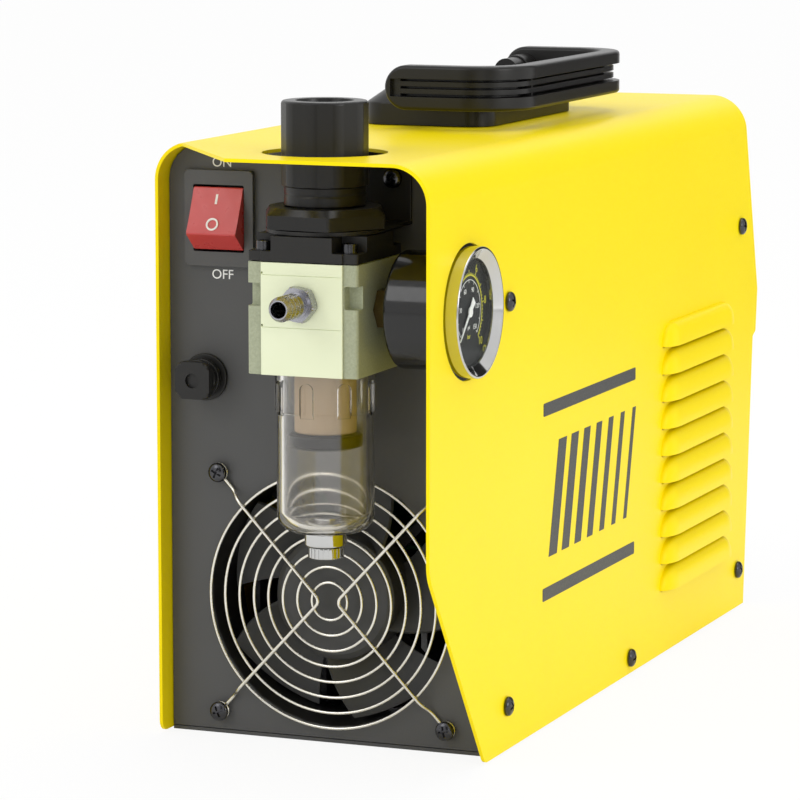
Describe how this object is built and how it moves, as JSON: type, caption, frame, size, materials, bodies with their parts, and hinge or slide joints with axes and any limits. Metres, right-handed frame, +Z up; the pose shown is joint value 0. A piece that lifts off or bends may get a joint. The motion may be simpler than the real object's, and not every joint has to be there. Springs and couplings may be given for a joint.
{
  "type": "plasma cutter unit",
  "caption": "Compact air plasma cutter in a louvred yellow case with folding handle, filter regulator, gauge, fan and power switch at the rear, torch and earth sockets in front.",
  "frame": {"origin": "centre of the base tray's underside, midway between the rear panel's face and the foot of the front edge", "axes": "+Z up, +Y towards the front panel, +X to the right seen from behind"},
  "size_m": [0.1289, 0.3697, 0.225],
  "materials": {
    "yellow_powder_coat": "satin powder coat",
    "dark_grey_powder_coat": "satin powder coat",
    "black_moulded_plastic": "fine moulded texture",
    "grey_moulded_plastic": "moulded",
    "red_moulded_plastic": "moulded",
    "cream_body_paint": "paint on a die casting",
    "clear_polycarbonate": "clear moulded",
    "beige_filter": "sintered",
    "chrome_plate": "polished",
    "nickel_wire": "bright wire",
    "black_zinc_steel": "black zinc",
    "brass": "machined",
    "gauge_dial": "printed",
    "needle_white": "enamel",
    "tinted_acrylic": "clear tinted",
    "circuit_board": "solder mask",
    "extruded_aluminium": "mill finish",
    "ferrite_and_tape": "ferrite and tape",
    "blue_air_hose": "polyurethane tube"
  },
  "bodies": {
    "case": {"cover": "yellow_powder_coat", "base_tray": "dark_grey_powder_coat", "rear_panel": "dark_grey_powder_coat", "front_panel": "black_moulded_plastic", "fan_frame": "black_moulded_plastic", "regulator_bonnet": "black_moulded_plastic", "air_bracket": "black_moulded_plastic", "ring_nut": "black_moulded_plastic", "baffle_disc": "black_moulded_plastic", "gauge_case": "black_moulded_plastic", "cable_gland": "black_moulded_plastic", "gland_nut": "black_moulded_plastic", "handle_base": "black_moulded_plastic", "torch_plate": "black_moulded_plastic", "earth_socket": "black_moulded_plastic", "switch_housing": "grey_moulded_plastic", "cover_screw_left_1": "black_zinc_steel", "cover_screw_left_2": "black_zinc_steel", "cover_screw_left_3": "black_zinc_steel", "cover_screw_left_4": "black_zinc_steel", "cover_screw_left_5": "black_zinc_steel", "cover_screw_right_1": "black_zinc_steel", "cover_screw_right_2": "black_zinc_steel", "cover_screw_right_3": "black_zinc_steel", "cover_screw_right_4": "black_zinc_steel", "cover_screw_right_5": "black_zinc_steel", "fan_screw_1": "black_zinc_steel", "fan_screw_2": "black_zinc_steel", "fan_screw_3": "black_zinc_steel", "fan_screw_4": "black_zinc_steel", "bracket_screw_1": "black_zinc_steel", "bracket_screw_2": "black_zinc_steel", "fan_guard": "nickel_wire", "regulator_body": "cream_body_paint", "filter_bowl": "clear_polycarbonate", "gauge_lens": "clear_polycarbonate", "filter_cup": "beige_filter", "drain_body": "chrome_plate", "hose_barb": "chrome_plate", "gauge_bezel": "chrome_plate", "control_socket": "chrome_plate", "outlet_fitting": "brass", "gauge_nipple": "brass", "torch_socket": "brass", "solenoid_valve": "brass", "gauge_dial": "gauge_dial", "display_window": "tinted_acrylic", "heat_sink": "extruded_aluminium", "power_board": "circuit_board", "control_board": "circuit_board", "transformer": "ferrite_and_tape", "air_hose": "blue_air_hose"},
    "rocker": {"switch_rocker": "red_moulded_plastic"},
    "rotor": {"fan_rotor": "grey_moulded_plastic"},
    "adjuster": {"adjust_screw": "black_zinc_steel"},
    "pressure_grip": {"regulator_knob": "black_moulded_plastic"},
    "drain_cock": {"drain_cock": "chrome_plate"},
    "needle": {"gauge_needle": "needle_white"},
    "carry_handle": {"handle_bail": "black_moulded_plastic"},
    "current_dial": {"current_knob": "black_moulded_plastic"}
  },
  "joints": [
    {"name": "power_rocker", "type": "hinge", "parent": "case", "child": "rocker", "pos_m": [-0.0395, -0.14, 0.17685], "axis": [1, 0, 0], "range_deg": [0, 48]},
    {"name": "fan_spin", "type": "hinge", "parent": "case", "child": "rotor", "pos_m": [0, -0.13, 0.0493], "axis": [0, 1, 0], "continuous": true},
    {"name": "pressure_turn", "type": "hinge", "parent": "case", "child": "adjuster", "pos_m": [0.0103, -0.1695, 0.19], "axis": [0, 0, 1], "range_deg": [-900, 900]},
    {"name": "knob_lift", "type": "slide", "parent": "adjuster", "child": "pressure_grip", "axis": [0, 0, 1], "range_m": [0, 0.0025]},
    {"name": "drain_turn", "type": "hinge", "parent": "case", "child": "drain_cock", "pos_m": [0.0103, -0.1695, 0.0715], "axis": [0, 0, 1], "range_deg": [0, 270]},
    {"name": "needle_sweep", "type": "hinge", "parent": "case", "child": "needle", "pos_m": [0.0606, -0.1695, 0.1528], "axis": [-1, 0, 0], "range_deg": [0, 270], "stiffness_Nm_per_rad": 0.00002},
    {"name": "handle_fold", "type": "hinge", "parent": "case", "child": "carry_handle", "pos_m": [0, -0.009, 0.21725], "axis": [0, -1, 0], "range_deg": [0, 180]},
    {"name": "current_turn", "type": "hinge", "parent": "case", "child": "current_dial", "pos_m": [0, 0.14531, 0.14765], "axis": [0, 0.9657, 0.2598], "range_deg": [-150, 150]}
  ]
}
